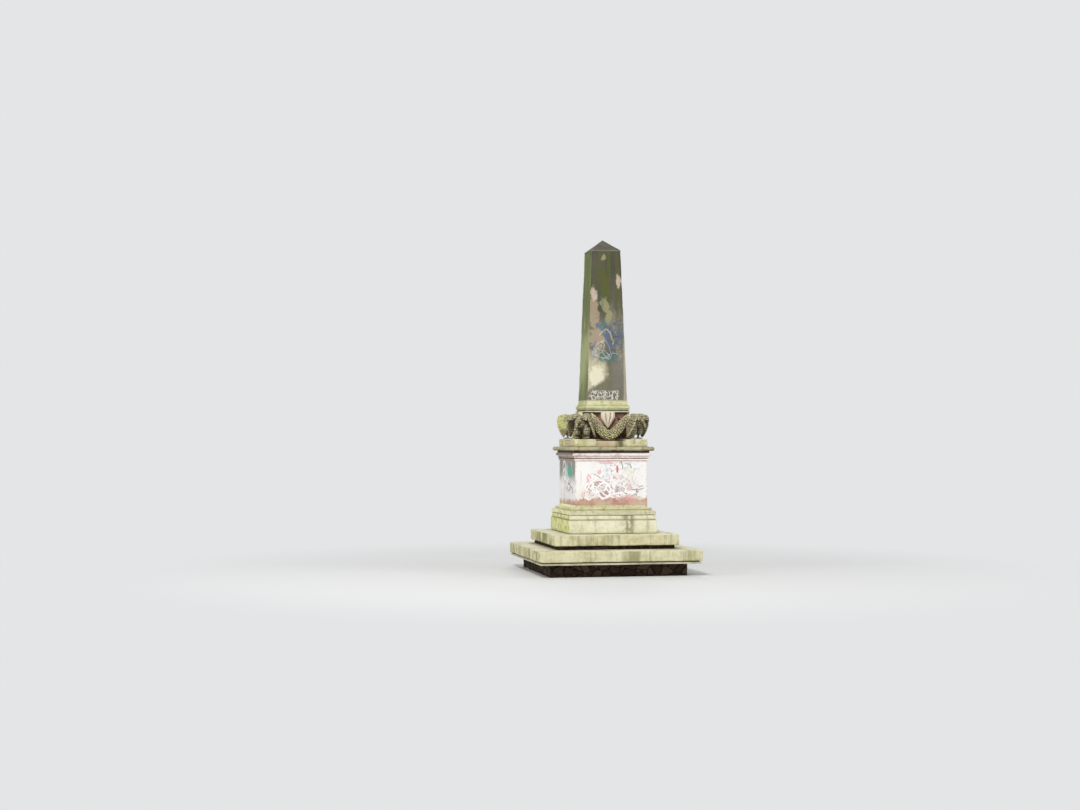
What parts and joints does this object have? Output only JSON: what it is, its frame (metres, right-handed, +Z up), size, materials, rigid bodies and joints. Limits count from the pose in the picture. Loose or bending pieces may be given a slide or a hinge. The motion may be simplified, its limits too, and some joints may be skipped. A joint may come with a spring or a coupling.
{
  "type": "stone obelisk on a stepped base",
  "caption": "Square stone obelisk on a moulded pedestal and steps, with eagles on the pedestal corners and laurel garlands between them.",
  "frame": {"origin": "centre of the foundation's underside, at ground level", "axes": "+Z up along the shaft, the front side looks towards -Y"},
  "size_m": [2.8, 2.8, 5.8],
  "materials": {
    "dark_stone": "dark red-brown masonry in the shade of the steps",
    "step_stone": "pale sandstone with yellow-green moss and dark streaks",
    "socle_stone": "pale sandstone, mossy, with worn paint",
    "die_stone": "red sandstone under patchy whitish paint",
    "cornice_stone": "beige sandstone with green algae",
    "ornament_stone": "grey-brown weathered carving",
    "garland_stone": "grey-brown carving with yellow-green moss",
    "shaft_stone": "grey-olive weathered sandstone with algae streaks"
  },
  "bodies": {
    "root": {"foundation": "dark_stone", "levelling_course": "step_stone", "lower_step_front": "step_stone", "lower_step_right": "step_stone", "lower_step_back": "step_stone", "lower_step_left": "step_stone", "lower_step_core": "dark_stone", "bedding_course": "dark_stone", "upper_step_front": "step_stone", "upper_step_right": "step_stone", "upper_step_back": "step_stone", "upper_step_left": "step_stone", "upper_step_core": "dark_stone", "socle_base_course": "socle_stone", "socle_top_course": "socle_stone", "base_moulding": "socle_stone", "pedestal_die": "die_stone", "bed_moulding": "die_stone", "cornice_slab": "cornice_stone", "eagle_block": "cornice_stone", "ornament_core": "ornament_stone", "eagle_front_left": "ornament_stone", "eagle_front_right": "ornament_stone", "eagle_back_right": "ornament_stone", "eagle_back_left": "ornament_stone", "garland_front": "garland_stone", "garland_right": "garland_stone", "garland_back": "garland_stone", "garland_left": "garland_stone", "pendant_front": "ornament_stone", "pendant_right": "ornament_stone", "pendant_back": "ornament_stone", "pendant_left": "ornament_stone", "core_cap": "shaft_stone", "shaft_base": "shaft_stone", "shaft": "shaft_stone", "pyramidion": "shaft_stone"}
  },
  "joints": []
}
